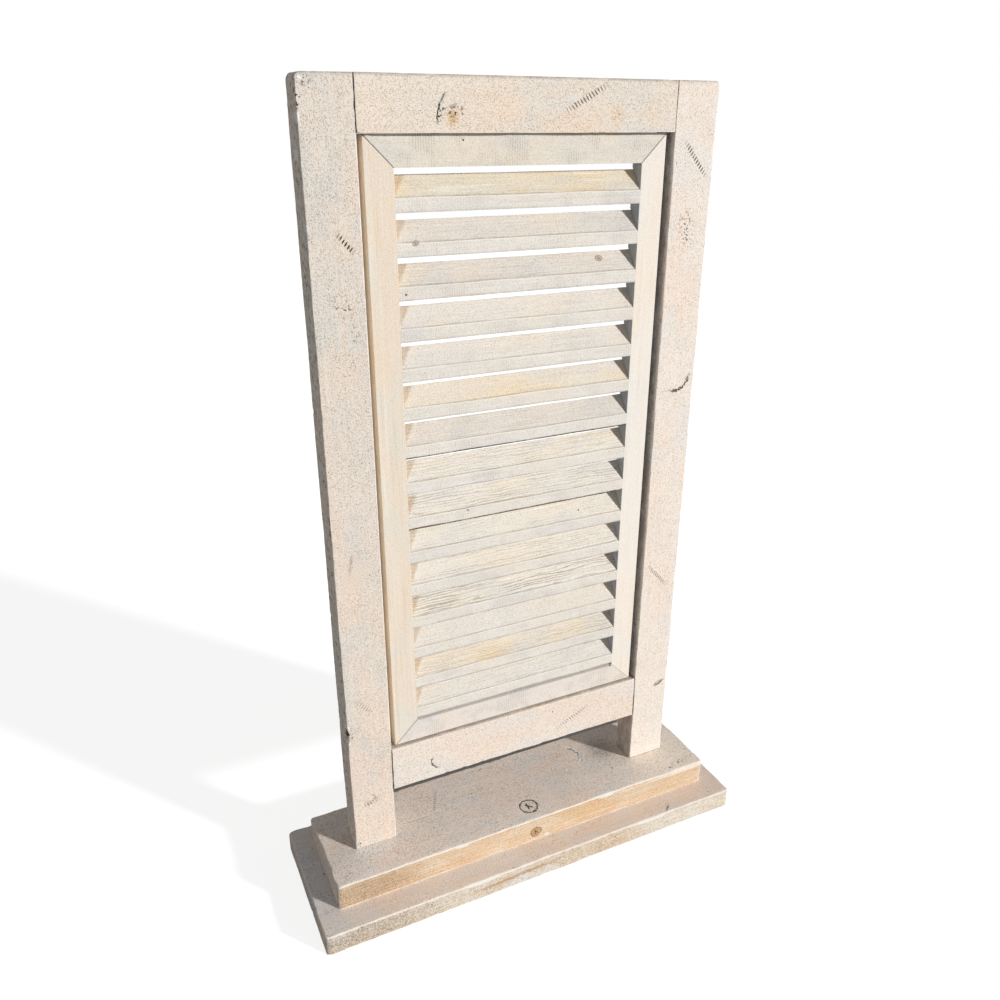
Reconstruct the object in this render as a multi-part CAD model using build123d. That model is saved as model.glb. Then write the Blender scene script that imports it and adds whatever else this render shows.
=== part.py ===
from build123d import *
import os

# Louvred shutter standing on a two-tier plinth. Millimetres, +X right, +Y back, +Z up.
# The origin is on the ground, under the middle of the lower plinth board.

# Outer frame
frame_width = 390.0
post_height = 750.0
post_width = 45.0
post_depth = 30.0
post_shoulder_radius = 4.5
frame_arris = 1.5
top_rail_height = 43.0
bottom_rail_height = 51.0
foot_gap = 65.0

# Plinth boards
lower_width = 500.0
lower_depth = 160.0
lower_thickness = 24.0
lower_corner_radius = 7.0
upper_width = 456.0
upper_depth = 110.0
upper_thickness = 30.0
upper_corner_radius = 6.0
upper_setback = 28.0
frame_setback = 42.0
plinth_top_arris = 3.0
plinth_under_arris = 1.5

# Mitred louvre panel
panel_member_width = 25.5
panel_depth = 15.0
panel_recess = 5.0
panel_side_gap = 5.7
panel_top_clearance = 0.3
panel_arris = 1.0

# Slats, each a parallelogram section with an upright front face
slat_count = 15
slat_depth = 14.0
slat_face_height = 11.7
slat_rise = 18.0
slat_top_gap = 5.5
slat_bottom_gap = 2.4
slat_arris = 1.2
slat_edge_ease = 0.3
housing_depth = 8.0
housing_clearance = 0.1
slat_end_clearance = 0.3
cutter_overrun = 1.0

# Stub tenons of the rails, glued into mortises in the posts
tenon_length = 22.0
tenon_thickness = 10.0
tenon_shoulder = 8.0
tenon_clearance = 0.1
glue_room = 1.0

# Dowels that hold the panel between the rails
dowel_diameter = 6.0
dowel_in_panel = 12.0
dowel_in_rail = 15.0
dowel_offset = 80.0
dowel_clearance = 0.05

# V-shaped steel nails across the mitres, driven in from the back
mitre_nail_count = 2
mitre_nail_leg = 5.0
mitre_nail_thickness = 0.8
mitre_nail_length = 10.0
mitre_nail_recess = 0.5
mitre_nail_clearance = 0.05

# Countersunk screws up through the plinth boards
screw_clearance = 0.05
screw_head_recess = 0.5
post_screw_diameter = 5.0
post_screw_head_diameter = 10.0
post_screw_length = 80.0
plinth_screw_diameter = 4.0
plinth_screw_head_diameter = 8.0
plinth_screw_length = 45.0
plinth_screw_edge_x = 38.0
plinth_screw_edge_y = 20.0

# Levels and faces that follow from the sizes above
upper_base_z = lower_thickness
foot_z = upper_base_z + upper_thickness
top_z = foot_z + post_height
bottom_rail_z = foot_z + foot_gap
opening_bottom_z = bottom_rail_z + bottom_rail_height
opening_top_z = top_z - top_rail_height

upper_front_y = -lower_depth / 2 + upper_setback
upper_centre_y = upper_front_y + upper_depth / 2
frame_front_y = upper_front_y + frame_setback
frame_centre_y = frame_front_y + post_depth / 2
panel_front_y = frame_front_y + panel_recess
panel_back_y = panel_front_y + panel_depth
panel_centre_y = panel_front_y + panel_depth / 2

frame_half = frame_width / 2
opening_half = frame_half - post_width
post_centre_x = frame_half - post_width / 2
panel_half = opening_half - panel_side_gap
louvre_half = panel_half - panel_member_width
panel_bottom_z = opening_bottom_z
panel_top_z = opening_top_z - panel_top_clearance
louvre_bottom_z = panel_bottom_z + panel_member_width
louvre_top_z = panel_top_z - panel_member_width

slat_height = slat_face_height + slat_rise
slat_back_y = panel_front_y + slat_depth
housing_overrun = panel_depth - slat_depth + cutter_overrun
first_slat_z = louvre_bottom_z + slat_bottom_gap
last_slat_z = louvre_top_z - slat_top_gap - slat_height
slat_pitch = (last_slat_z - first_slat_z) / (slat_count - 1)

mirror_plane = Plane.YZ


def slab(outline_points, front_y, depth):
    """Board whose front outline is given in X and Z, running back from front_y."""
    outline = Polyline(*outline_points, close=True)
    face = make_face(Plane.XZ * outline)
    return Pos(0, front_y, 0) * extrude(face, depth, dir=(0, 1, 0))


def plinth_board(width, depth, thickness, corner_radius, centre_y, base_z):
    """Plinth board with rounded corners and eased top and bottom edges."""
    outline = Pos(0, centre_y, base_z) * RectangleRounded(width, depth, corner_radius)
    board = extrude(outline, thickness)
    board = fillet(board.faces().sort_by(Axis.Z)[-1].edges(), plinth_top_arris)
    return chamfer(board.faces().sort_by(Axis.Z)[0].edges(), plinth_under_arris)


def left_post_blank():
    """Left post, with a rounded outer shoulder and eased long edges."""
    outer, inner = -frame_half, -opening_half
    blank = slab([(outer, foot_z), (inner, foot_z), (inner, top_z), (outer, top_z)], frame_front_y, post_depth)
    shoulder = blank.edges().filter_by(Axis.Y).group_by(Axis.Z)[-1].sort_by(Axis.X)[0]
    blank = fillet(shoulder, post_shoulder_radius)
    faces = blank.faces().sort_by(Axis.Y)
    face_edges = faces[0].edges() + faces[-1].edges()
    return fillet([e for e in face_edges if (e @ 0.5).Z > foot_z + frame_arris], frame_arris)


def tenons(base_z, height, clearance=0.0, end_room=0.0):
    """Core of a rail that ends in its two tenons, or in their mortises when given clearance."""
    reach = opening_half + tenon_length + end_room
    tall = height - 2 * tenon_shoulder + 2 * clearance
    thick = tenon_thickness + 2 * clearance
    return Pos(0, frame_centre_y, base_z + height / 2) * Box(2 * reach, thick, tall)


def rail_blank(base_z, height):
    """Rail between the posts, with its four long edges eased and a tenon at each end."""
    section = Plane.YZ * Pos(frame_centre_y, base_z + height / 2) * RectangleRounded(post_depth, height, frame_arris)
    return Pos(-opening_half, 0, 0) * extrude(section, 2 * opening_half) + tenons(base_z, height)


def left_stile_blank():
    """Left member of the panel, mitred at both ends, with its outer edges eased."""
    outer, inner = -panel_half, -louvre_half
    points = [(outer, panel_bottom_z), (inner, louvre_bottom_z), (inner, louvre_top_z), (outer, panel_top_z)]
    blank = slab(points, panel_front_y, panel_depth)
    outer_edges = blank.edges().filter_by(Axis.Z).group_by(Axis.X)[0]
    return fillet(outer_edges, panel_arris)


def panel_rail_blank(outer_z, inner_z):
    """Top or bottom member of the panel, mitred at both ends."""
    points = [(-panel_half, outer_z), (-louvre_half, inner_z), (louvre_half, inner_z), (panel_half, outer_z)]
    return slab(points, panel_front_y, panel_depth)


def slat_outline(base_z, grow=0.0, overrun=0.0):
    """Slat section in Y and Z: upright front and back faces, sloping up to the back."""
    slope = slat_rise / slat_depth
    front, back = panel_front_y - overrun, slat_back_y + overrun
    front_z, back_z = base_z - slope * overrun, base_z + slat_rise + slope * overrun
    low = [(front, front_z - grow), (back, back_z - grow)]
    high = [(back, back_z + slat_face_height + grow), (front, front_z + slat_face_height + grow)]
    return make_face(Plane.YZ * Polyline(*low, *high, close=True))


def slat(index):
    """Slat number index, counted from the top, housed at both ends, with its edges eased."""
    section = slat_outline(last_slat_z - index * slat_pitch)
    sharp_front, front, back, sharp_back = section.vertices().sort_by(Axis.Z)
    section = fillet([front, back], slat_arris)
    sharp = [v for v in section.vertices() if min(v.distance(sharp_front), v.distance(sharp_back)) < slat_edge_ease]
    section = chamfer(sharp, slat_edge_ease)
    reach = louvre_half + housing_depth - slat_end_clearance
    return Pos(-reach, 0, 0) * extrude(section, 2 * reach)


def left_housings():
    """Slanting housings in the left stile, open at its inner edge and both faces."""
    cuts = []
    for index in range(slat_count):
        section = slat_outline(last_slat_z - index * slat_pitch, housing_clearance, housing_overrun)
        cuts.append(Pos(-louvre_half - housing_depth, 0, 0) * extrude(section, housing_depth + cutter_overrun))
    return cuts


def panel_dowels(clearance=0.0, room=0.0):
    """Upright dowels between the panel and the two rails, or their holes."""
    length = dowel_in_panel + dowel_in_rail + 2 * room
    peg = extrude(Circle(dowel_diameter / 2 + clearance), length)
    starts = (opening_bottom_z - dowel_in_rail - room, panel_top_z - dowel_in_panel - room)
    return [Pos(x, panel_centre_y, z) * peg for x in (-dowel_offset, dowel_offset) for z in starts]


def left_mitre_nails(clearance=0.0, mouth=0.0):
    """V-shaped nails across the two left mitres, or their slots when given clearance and mouth."""
    half, far = mitre_nail_thickness / 2 + clearance, mitre_nail_leg + clearance
    outline = [(-half, -half), (far, -half), (far, half), (half, half), (half, far), (-half, far)]
    front_y = panel_back_y - mitre_nail_recess - mitre_nail_length - clearance
    nails = []
    for step in range(1, mitre_nail_count + 1):
        inset = panel_member_width * step / (mitre_nail_count + 1)
        for corner_z, outward in ((panel_bottom_z, -1), (panel_top_z, 1)):
            x, z = -panel_half + inset, corner_z - outward * inset
            points = [(x - u, z + outward * v) for u, v in outline]
            nails.append(slab(points, front_y, mitre_nail_length + clearance + mouth))
    return nails


def screw(x, y, face_z, diameter, head_diameter, length, clearance=0.0, mouth=0.0):
    """Countersunk screw pointing up, its head just inside the face at face_z, or its hole."""
    shank, head = diameter / 2 + clearance, head_diameter / 2 + clearance
    head_side = [(0, -mouth), (head + mouth, -mouth), (shank, head - shank)]
    profile = head_side + [(shank, length), (0, length)]
    outline = make_face(Plane.XZ * Polyline(*profile, close=True))
    return Pos(x, y, face_z + screw_head_recess) * revolve(outline, Axis.Z)


def left_post_screw(clearance=0.0, mouth=0.0):
    """Screw from under the upper board into the left post's foot."""
    size = (post_screw_diameter, post_screw_head_diameter, post_screw_length)
    return [screw(-post_centre_x, frame_centre_y, upper_base_z, *size, clearance, mouth)]


def plinth_screws(clearance=0.0, mouth=0.0):
    """Screws from under the lower board into the upper board."""
    reach_x = upper_width / 2 - plinth_screw_edge_x
    rows_y = [upper_front_y + plinth_screw_edge_y, upper_front_y + upper_depth - plinth_screw_edge_y]
    size = (plinth_screw_diameter, plinth_screw_head_diameter, plinth_screw_length)
    return [screw(x, y, 0, *size, clearance, mouth) for x in (-reach_x, reach_x) for y in rows_y]


def both_sides(solids):
    """The solids of the left side with their mirror images on the right."""
    return list(solids) + [mirror(s, mirror_plane) for s in solids]


def cut_all(blank, tools):
    """The blank with every tool taken away."""
    for tool in tools:
        blank = blank - tool
    return blank


def save(name, shape):
    """Write one node, a single solid or a group of like solids."""
    solids = [s for item in shape for s in item.solids()] if isinstance(shape, list) else shape.solids()
    whole = solids[0] if len(solids) == 1 else Compound(children=list(solids))
    export_step(whole, f"parts/{name}.step")


def plinth_parts():
    """The two plinth boards with the holes for their screws."""
    lower_size = (lower_width, lower_depth, lower_thickness, lower_corner_radius)
    upper_size = (upper_width, upper_depth, upper_thickness, upper_corner_radius)
    board_holes = plinth_screws(screw_clearance, screw_head_recess)
    post_holes = both_sides(left_post_screw(screw_clearance, screw_head_recess))
    return {
        "lower_plinth": cut_all(plinth_board(*lower_size, 0, 0), board_holes),
        "upper_plinth": cut_all(plinth_board(*upper_size, upper_centre_y, upper_base_z), board_holes + post_holes),
    }


def frame_parts():
    """Posts with their mortises and rails with their tenons."""
    rails = {
        "top_rail": (opening_top_z, top_rail_height),
        "bottom_rail": (bottom_rail_z, bottom_rail_height),
    }
    mortises = [tenons(*rail, tenon_clearance, glue_room) for rail in rails.values()]
    left_post = cut_all(left_post_blank(), mortises + left_post_screw(screw_clearance, screw_head_recess))
    dowel_holes = panel_dowels(dowel_clearance, glue_room)
    parts = {name: cut_all(rail_blank(*rail), dowel_holes) for name, rail in rails.items()}
    return parts | {"left_post": left_post, "right_post": mirror(left_post, mirror_plane)}


def panel_parts():
    """Mitred louvre panel: two housed stiles and two rails."""
    nail_slots = left_mitre_nails(mitre_nail_clearance, mitre_nail_recess + cutter_overrun)
    left_stile = cut_all(left_stile_blank(), left_housings() + nail_slots)
    rail_cuts = both_sides(nail_slots) + panel_dowels(dowel_clearance, glue_room)
    return {
        "left_stile": left_stile,
        "right_stile": mirror(left_stile, mirror_plane),
        "panel_top_rail": cut_all(panel_rail_blank(panel_top_z, louvre_top_z), rail_cuts),
        "panel_bottom_rail": cut_all(panel_rail_blank(panel_bottom_z, louvre_bottom_z), rail_cuts),
    }


def main():
    """Build every node and write it to the parts folder."""
    os.makedirs("parts", exist_ok=True)
    nodes = plinth_parts() | frame_parts() | panel_parts()
    nodes |= {f"slat_{index + 1:02d}": slat(index) for index in range(slat_count)}
    nodes["panel_dowels"] = panel_dowels()
    nodes["mitre_nails"] = both_sides(left_mitre_nails())
    nodes["post_screws"] = both_sides(left_post_screw())
    nodes["plinth_screws"] = plinth_screws()
    for name, shape in nodes.items():
        save(name, shape)


main()
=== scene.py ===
import logging
import math
from dataclasses import dataclass, replace
from enum import Enum

import bmesh
import bpy
import numpy as np
from mathutils import Matrix, Vector


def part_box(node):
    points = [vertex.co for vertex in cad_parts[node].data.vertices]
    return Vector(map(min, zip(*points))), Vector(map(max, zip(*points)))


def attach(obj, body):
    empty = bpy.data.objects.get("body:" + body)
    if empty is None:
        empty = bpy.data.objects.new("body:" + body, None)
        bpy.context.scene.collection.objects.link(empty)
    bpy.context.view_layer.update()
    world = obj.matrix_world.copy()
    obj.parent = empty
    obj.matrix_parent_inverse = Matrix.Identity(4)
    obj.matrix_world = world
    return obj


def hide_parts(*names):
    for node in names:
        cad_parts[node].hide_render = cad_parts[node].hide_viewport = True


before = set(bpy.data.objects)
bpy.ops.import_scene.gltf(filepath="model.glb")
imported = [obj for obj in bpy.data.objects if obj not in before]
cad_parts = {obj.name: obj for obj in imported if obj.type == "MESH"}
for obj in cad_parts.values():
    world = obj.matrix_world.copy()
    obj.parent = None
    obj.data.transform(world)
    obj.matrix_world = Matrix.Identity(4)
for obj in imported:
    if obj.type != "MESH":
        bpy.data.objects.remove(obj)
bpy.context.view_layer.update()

# A louvred shutter of limewashed pine in its own stand. Lengths named _mm are millimetres,
# and everything built is in metres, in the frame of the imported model.

MM = 0.001
WHITE = (1.0, 1.0, 1.0, 1.0)
log = logging.getLogger("shutter")

Socket = bpy.types.NodeSocket
Tree = bpy.types.NodeTree


def linear(hex_colour: str) -> tuple[float, float, float, float]:
    """Turn an sRGB hex colour into linear light.

    Args:
        hex_colour: six hex digits, with or without a leading hash.

    Returns:
        Red, green, blue and an alpha of one.
    """
    digits = hex_colour.lstrip("#")
    channels = [int(digits[i:i + 2], 16) / 255 for i in (0, 2, 4)]
    light = [c / 12.92 if c <= 0.04045 else ((c + 0.055) / 1.055) ** 2.4 for c in channels]
    return (*light, 1.0)


def add_node(tree: Tree, kind: str, settings: dict[str, object] | None = None,
             values: dict[str | int, object] | None = None,
             links: dict[str | int, Socket] | None = None) -> bpy.types.Node:
    """Add one shader node with its settings and links.

    Args:
        tree: the material's node tree.
        kind: the node's Blender type.
        settings: properties of the node itself.
        values: constants for its inputs, by name or number.
        links: output sockets that feed its inputs.

    Returns:
        The new node.
    """
    node = tree.nodes.new(kind)
    for name, value in (settings or {}).items():
        setattr(node, name, value)
    for name, value in (values or {}).items():
        node.inputs[name].default_value = value
    for name, source in (links or {}).items():
        tree.links.new(source, node.inputs[name])
    return node


class Grain(Enum):
    """Axis that a board's grain runs along."""

    ACROSS = 0
    UPRIGHT = 2


class Facing(Enum):
    """Way that a board's broad outline looks: its two outline axes, then its thickness axis."""

    FRONT = (0, 2, 1)
    TOP = (0, 1, 2)


class MarkKind(Enum):
    """Sorts of old damage and figure in the timber."""

    THREAD = "prints of a screw thread"
    CRACK = "drying crack"
    SEAM = "fine dark line of a closed joint"
    CRESCENT = "half-round dent from a hammer or a bolt head"
    KNOT = "sound knot with rings and a warm middle"
    RING = "washed-over knot that shows only its rim and checks"
    HOLE = "pin hole"
    SPECKS = "cluster of dark specks"
    # A blush also paints shade: a dark one beside the right post's foot and a cool one on the lower board's left end.
    BLUSH = "soft stain in the timber, warm or cool"
    CHIP = "spot where the wash is thicker or the timber is bruised"


@dataclass(frozen=True)
class Mark:
    """One mark on a face: where it is, which way it runs and how big it is."""

    kind: MarkKind
    at_mm: tuple[float, float, float]
    long_mm: float
    wide_mm: float
    turn_deg: float = 0.0
    strength: float = 1.0
    facing: Facing = Facing.FRONT
    colour: str = "f4efe6"
    pale: bool = False
    deep_mm: float = 6.0


@dataclass(frozen=True)
class Ripple:
    """Smooth seeded unevenness, as a hand plane, a brush and years of knocks leave it."""

    size_mm: float
    depth_mm: float
    seed: int
    stretch: tuple[float, float, float] = (1.0, 1.0, 1.0)
    waves: int = 14
    seed_step: int = 101

    def level(self, points: np.ndarray) -> np.ndarray:
        """Unevenness at each point.

        Args:
            points: places in metres, one row each.

        Returns:
            One value for each point, mostly between minus one and one.
        """
        rng = np.random.default_rng(self.seed)
        ways = rng.normal(size=(self.waves, 3))
        ways /= np.linalg.norm(ways, axis=1)[:, None]
        ways *= 2 * math.pi / (self.size_mm * MM) * rng.uniform(0.6, 1.5, (self.waves, 1))
        starts = rng.uniform(0, 2 * math.pi, self.waves)
        stretched = points * np.array(self.stretch)
        return np.sin(stretched @ ways.T + starts).sum(axis=1) / math.sqrt(self.waves)

    def push(self, points: np.ndarray) -> np.ndarray:
        """Displacement of each point, in metres, along all three axes."""
        ways = [replace(self, seed=self.seed + self.seed_step * axis).level(points) for axis in (1, 2, 3)]
        return np.column_stack(ways) * self.depth_mm * MM


def make_mesh(name: str, points: np.ndarray, faces: list, attributes: dict[str, np.ndarray]) -> bpy.types.Object:
    """Make an object from points and faces.

    Args:
        name: the object's name.
        points: places in metres.
        faces: tuples of point numbers.
        attributes: a value for each point, under the name that the finish reads.

    Returns:
        The new object, smooth shaded, linked to the scene.
    """
    mesh = bpy.data.meshes.new(name)
    mesh.from_pydata(points.tolist(), [], faces)
    for key in ("arris", "dirt", "stain"):
        layer = mesh.attributes.new(key, "FLOAT", "POINT")
        layer.data.foreach_set("value", attributes.get(key, np.zeros(len(points))).astype(np.float32))
    mesh.shade_smooth()
    mesh.update()
    piece = bpy.data.objects.new(name, mesh)
    bpy.context.scene.collection.objects.link(piece)
    return piece


def settle(piece: bpy.types.Object, node: str, slot: str, finish: bpy.types.Material) -> None:
    """Give a piece its finish and let it stand for its solid on the one body.

    Args:
        piece: the dressed piece.
        node: the solid it stands for.
        slot: the record's material slot; not used.
        finish: its material.
    """
    piece.data.materials.clear()
    piece.data.materials.append(finish)
    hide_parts(node)
    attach(piece, "root")
    log.info("%s: %d faces, %s", piece.name, len(piece.data.polygons), finish.name)


# Finishes


class Value:
    """A number that varies over a surface, with the sums that join it to others."""

    def __init__(self, tree: Tree, socket: Socket) -> None:
        """Hold an output socket and the node tree it is in."""
        self.tree, self.socket = tree, socket

    def math(self, operation: str, other: "Value | float" = 0.0) -> "Value":
        """Join this value to another, or to a number, by one named operation."""
        if isinstance(other, float):
            node = add_node(self.tree, "ShaderNodeMath", {"operation": operation}, {1: other}, {0: self.socket})
        else:
            node = add_node(self.tree, "ShaderNodeMath", {"operation": operation},
                            links={0: self.socket, 1: other.socket})
        return Value(self.tree, node.outputs[0])

    def __add__(self, other: "Value | float") -> "Value":
        """Sum of two values."""
        return self.math("ADD", other)

    def __sub__(self, other: "Value | float") -> "Value":
        """Difference of two values."""
        return self.math("SUBTRACT", other)

    def __mul__(self, other: "Value | float") -> "Value":
        """Product of two values."""
        return self.math("MULTIPLY", other)

    def size(self) -> "Value":
        """This value without its sign."""
        return self.math("ABSOLUTE")

    def larger(self, other: "Value") -> "Value":
        """The larger of two values."""
        return self.math("MAXIMUM", other)

    def spread(self, low: float, high: float, out_low: float = 0.0, out_high: float = 1.0) -> "Value":
        """Stretch this value smoothly from one range to another.

        Args:
            low: where the result starts.
            high: where the result ends.
            out_low: the result at the start.
            out_high: the result at the end.

        Returns:
            The stretched value.
        """
        ranged = add_node(self.tree, "ShaderNodeMapRange", {"interpolation_type": "SMOOTHSTEP"},
                          {"From Min": low, "From Max": high, "To Min": out_low, "To Max": out_high},
                          {"Value": self.socket})
        return Value(self.tree, ranged.outputs[0])


def start_material(name: str) -> tuple[bpy.types.Material, Tree, Socket]:
    """Start an empty material.

    Args:
        name: the material's name.

    Returns:
        The material, its node tree and the coordinates in metres.
    """
    material = bpy.data.materials.new(name)
    material.use_nodes = True
    tree = material.node_tree
    tree.nodes.clear()
    return material, tree, add_node(tree, "ShaderNodeTexCoord").outputs["Object"]


@dataclass(frozen=True)
class WashTone:
    """Colours of one face of a washed board: the main one and the two that cloud it."""

    main: str
    warm: str
    cool: str


@dataclass(frozen=True)
class LimewashedPine:
    """Softwood boards brushed with thin white wash and rubbed back.

    The wash sits in the pores and leaves a chalky, matt surface. The eye sees a pale ground
    that clouds from pink to grey, fine dark pits, soft streaks along the grain and paler arrises.
    """

    name: str
    grain: Grain
    front: WashTone
    top: WashTone
    arris: str = "f1e9dc"
    pits: float = 0.5
    pit_mm: float = 1.0
    streaks: float = 0.35
    streak_mm: float = 2.2
    lines: float = 0.0
    lines_mm: float = 9.0
    lines_front: float = 0.0
    lines_top: float = 1.0
    sawn: float = 0.75
    mottle: float = 0.0
    patch_mm: float = 4.6
    saw: float = 0.0
    saw_mm: float = 2.3
    fuzz: float = 0.5
    worn: float = 0.5
    seed: float = 0.0
    rough: float = 0.85
    marks: tuple[Mark, ...] = ()

    def build(self) -> bpy.types.Material:
        """Build the material with all its patterns."""
        return WashCoat(self).build()


class WashCoat:
    """Draws one finish of limewashed pine in a new material, layer by layer."""

    wave_step = 0.314  # The wave texture repeats every 0.314 of its scale.
    relief_mm = 0.45
    streak_light, streak_dark = "ffffff", "4b4036"
    ring_dark, ring_light = "ac9c88", "f7f2ea"
    grain_dark, grain_light = "c4b5a6", "f8f3ec"
    wash_thick, wash_thin = "fffaf0", "7d6853"
    # Of these, the tone for the slats' left ends and the tone for the joints also paint shade: beside the left stile,
    # in recesses and along the slats' lower front arrises.
    saw_tone, stain_tone, pit_tone = "b3aba3", "dfd4c8", "5a4f46"
    dirt_tone, scar_tone = "5e4d3d", "4f453c"

    def __init__(self, pine: LimewashedPine) -> None:
        """Start the material and read which way each point looks."""
        self.pine = pine
        self.material, self.tree, self.place = start_material(pine.name)
        normal = add_node(self.tree, "ShaderNodeNewGeometry").outputs["Normal"]
        ways = add_node(self.tree, "ShaderNodeSeparateXYZ", links={0: normal}).outputs
        self.upward = Value(self.tree, ways["Z"])
        self.sideways, self.forward = (Value(self.tree, ways[axis]).size() for axis in "XY")

    def build(self) -> bpy.types.Material:
        """Lay every layer and join them to the shader.

        Returns:
            The finished material.
        """
        self.ground()
        self.stains_and_painted_shade()
        self.figure()
        self.handling()
        self.scars()
        bump = add_node(self.tree, "ShaderNodeBump", values={"Strength": 1.0, "Distance": self.relief_mm * MM},
                        links={"Height": self.relief.socket})
        shader = add_node(self.tree, "ShaderNodeBsdfPrincipled",
                          values={"Roughness": self.pine.rough, "Specular IOR Level": 0.2, "IOR": 1.5},
                          links={"Base Color": self.colour, "Normal": bump.outputs[0]})
        add_node(self.tree, "ShaderNodeOutputMaterial", links={"Surface": shader.outputs[0]})
        return self.material

    def noise(self, size_mm: float, shift: float, detail: float, drawn: float) -> Value:
        """Noise of a real size, drawn out along the grain.

        Args:
            size_mm: how far apart its lumps lie across the grain.
            shift: picks another pattern of the same kind.
            detail: how many finer layers it holds.
            drawn: how many times longer it is along the grain.

        Returns:
            Its value, from nought to one.
        """
        scale = [1.0, 1.0, 1.0]
        scale[self.pine.grain.value] = 1.0 / drawn
        mapped = add_node(self.tree, "ShaderNodeMapping", values={"Scale": scale}, links={"Vector": self.place})
        texture = add_node(self.tree, "ShaderNodeTexNoise", {"noise_dimensions": "4D"},
                           {"Scale": 1 / (size_mm * MM), "Detail": detail, "W": self.pine.seed + shift},
                           {"Vector": mapped.outputs[0]})
        return Value(self.tree, texture.outputs["Fac"])

    def waves(self, place: Socket, way: str, step_mm: float, bend: float, finer: float,
              start: float = 0.0) -> Value:
        """Wandering ridges at a real spacing.

        Args:
            place: the coordinates that they are drawn in.
            way: the axis that they follow each other along.
            step_mm: the spacing.
            bend: how far they wander.
            finer: how fine their wander is.
            start: where the first one lies.

        Returns:
            Their height, from nought to one.
        """
        texture = add_node(self.tree, "ShaderNodeTexWave", {"bands_direction": way},
                           {"Scale": self.wave_step / (step_mm * MM), "Distortion": bend, "Detail": 3.0,
                            "Detail Scale": finer, "Phase Offset": start}, {"Vector": place})
        return Value(self.tree, texture.outputs["Fac"])

    def felt(self, name: str) -> Value:
        """A value that the mesh carries at its points."""
        return Value(self.tree, add_node(self.tree, "ShaderNodeAttribute", {"attribute_name": name}).outputs["Fac"])

    def blend(self, share: Value, under: Socket | str, over: Socket | str,
              way: str = "MIX") -> Socket:
        """Put one colour over another.

        Args:
            share: how much of the upper colour shows.
            under: the lower colour, a socket or hex digits.
            over: the upper colour, a socket or hex digits.
            way: how the two are combined.

        Returns:
            The combined colour.
        """
        mix = add_node(self.tree, "ShaderNodeMix", {"data_type": "RGBA", "blend_type": way}, links={0: share.socket})
        for number, colour in ((6, under), (7, over)):
            if isinstance(colour, str):
                mix.inputs[number].default_value = linear(colour)
            else:
                self.tree.links.new(colour, mix.inputs[number])
        return mix.outputs[2]

    def lay(self, share: Value, over: str, way: str = "MIX") -> None:
        """Lay one more colour over what is there."""
        self.colour = self.blend(share, self.colour, over, way)

    def darken(self, share: Value, over: str) -> None:
        """Darken what is there towards a colour."""
        self.lay(share, over, "MULTIPLY")

    def ground(self) -> None:
        """Lay the clouded ground, one tone on the front and one on the top and the ends."""
        warm = self.noise(42.0, shift=1.0, detail=3.0, drawn=2.4).spread(0.44, 0.66)
        cool = self.noise(30.0, shift=7.0, detail=3.0, drawn=1.8).spread(0.48, 0.68)
        front, top = (self.blend(cool, self.blend(warm, tone.main, tone.warm), tone.cool)
                      for tone in (self.pine.front, self.pine.top))
        self.colour = self.blend(self.upward.larger(self.sideways).spread(0.30, 0.55), front, top)

    def stains_and_painted_shade(self) -> None:
        """Lay the soft blushes, which the wash and the pits lie over: warm and cool marks in the timber, and painted
        shade where a blush stands for a shadow.
        """
        blushes = [mark for mark in self.pine.marks if mark.kind is MarkKind.BLUSH]
        if blushes:
            fray = self.noise(6.0, shift=67.0, detail=3.0, drawn=1.6)
            upright = self.upward.spread(0.35, 0.80, 1.0, 0.0)
            for mark in blushes:
                share = MarkShape(self, mark, fray).disc(0.1, 1.0)
                self.lay(share * upright if mark.facing is Facing.FRONT else share, mark.colour)

    def figure(self) -> None:
        """Lay the streaks, growth rings and saw marks of the timber under the wash."""
        pine = self.pine
        streak = self.noise(pine.streak_mm, shift=13.0, detail=2.0, drawn=26.0)
        self.lay(streak.spread(0.55, 0.75, 0.0, pine.streaks), self.streak_light, "SOFT_LIGHT")
        self.lay(streak.spread(0.27, 0.45, pine.streaks, 0.0), self.streak_dark, "SOFT_LIGHT")
        self.relief = streak * 0.5
        if pine.lines > 0:
            # Growth rings show as fine ridges that follow each other along the board.
            drawn = add_node(self.tree, "ShaderNodeMapping", values={"Scale": (0.13, 1.0, 1.0)},
                             links={"Vector": self.place}).outputs[0]
            rings = self.waves(drawn, "Z", pine.lines_mm, 8.0, 1.6, pine.seed)
            flat = self.upward.spread(0.25, 0.45, pine.lines_front, pine.lines_top)
            share = flat * self.noise(8.0, shift=23.0, detail=2.0, drawn=5.0).spread(0.36, 0.60, 0.25, 1.0)
            ring = rings.spread(0.02, 0.42, pine.lines, 0.0) * share
            self.darken(ring, self.ring_dark)
            self.lay(rings.spread(0.6, 1.0, 0.0, pine.lines * 0.5) * share, self.ring_light)
            self.relief = self.relief - ring
        if pine.saw > 0:
            bands = self.waves(self.place, "X" if pine.grain is Grain.ACROSS else "Z", pine.saw_mm, 5.0, 0.6)
            patch = self.noise(16.0, shift=53.0, detail=2.0, drawn=1.0).spread(0.45, 0.62)
            cut = patch * self.upward.spread(0.15, 0.40, pine.saw, 0.0) * bands
            self.darken(cut, self.saw_tone)
            self.relief = self.relief - cut * 0.6

    def handling(self) -> None:
        """Lay the wash grain, pits, painted shade at the slats' left ends over wash left thin there, grime in the
        joints with painted shade in the recesses and along the slats' lower front arrises, and rubbed arrises.
        """
        pine = self.pine
        # Painted shade, with thin wash: the darker triangle at each slat's left end beside the left stile.
        self.darken(self.felt("stain"), self.stain_tone)
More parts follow.
